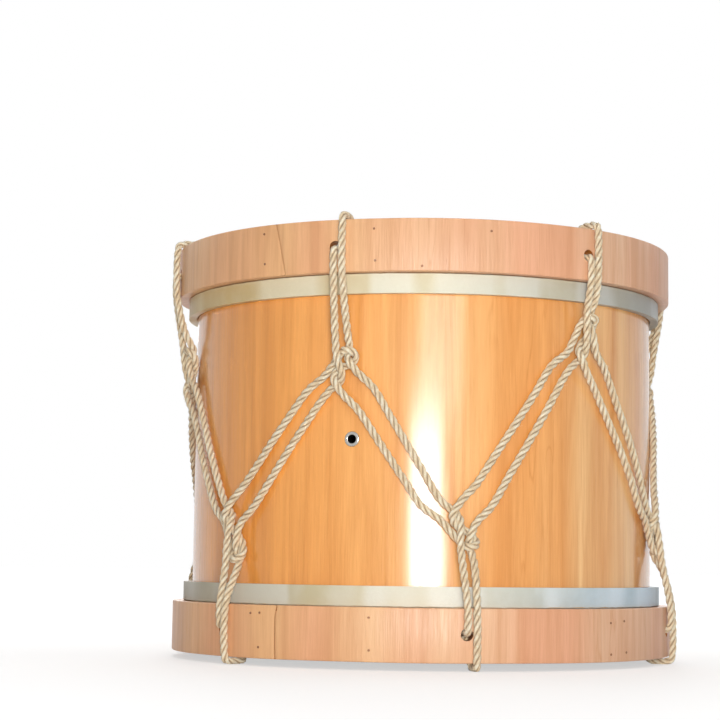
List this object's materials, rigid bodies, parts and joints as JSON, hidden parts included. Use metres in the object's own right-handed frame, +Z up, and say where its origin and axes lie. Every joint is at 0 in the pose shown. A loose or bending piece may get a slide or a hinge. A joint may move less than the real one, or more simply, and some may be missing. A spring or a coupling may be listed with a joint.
{
  "type": "rope-tensioned bass drum",
  "caption": "Alfaia drum: bent wooden shell, hide heads and wooden counterhoops, laced in a zigzag with natural rope drawn tight by a second hitched rope.",
  "frame": {"origin": "centre of the drum's round plan, on the surface that it stands on, under the bottom rope loops", "axes": "+Z up along the drum's axis from the bottom head to the batter head, -Y towards the viewer of the picture, +X to the viewer's right"},
  "size_m": [0.4475, 0.449, 0.3652],
  "materials": {
    "varnished_wood": "gloss clear varnish over honey-coloured wood with upright grain",
    "hoop_wood": "satin, pale pinkish wood with the grain running upright",
    "bare_wood": "bare, sawn",
    "hide": "natural translucent drum hide, off-white",
    "rope": "three-strand natural fibre rope, laid",
    "nickel": "nickel plated",
    "steel": "dull, slightly rusted"
  },
  "bodies": {
    "root": {"shell": "varnished_wood", "stiffener_top": "bare_wood", "stiffener_bottom": "bare_wood", "seam_batten": "bare_wood", "vent_eyelet": "nickel", "vent_washer": "nickel", "flesh_hoop_top": "bare_wood", "flesh_hoop_bottom": "bare_wood", "batter_head": "hide", "bottom_head": "hide", "counterhoop_top": "hoop_wood", "counterhoop_bottom": "hoop_wood", "top_hoop_nail_1": "steel", "top_hoop_nail_2": "steel", "top_hoop_nail_3": "steel", "top_hoop_nail_4": "steel", "top_hoop_nail_5": "steel", "top_hoop_nail_6": "steel", "bottom_hoop_nail_1": "steel", "bottom_hoop_nail_2": "steel", "bottom_hoop_nail_3": "steel", "bottom_hoop_nail_4": "steel", "bottom_hoop_nail_5": "steel", "bottom_hoop_nail_6": "steel", "bottom_hoop_nail_7": "steel", "bottom_hoop_nail_8": "steel", "bottom_hoop_nail_9": "steel", "lacing_rope": "rope", "tension_rope": "rope"}
  },
  "joints": []
}
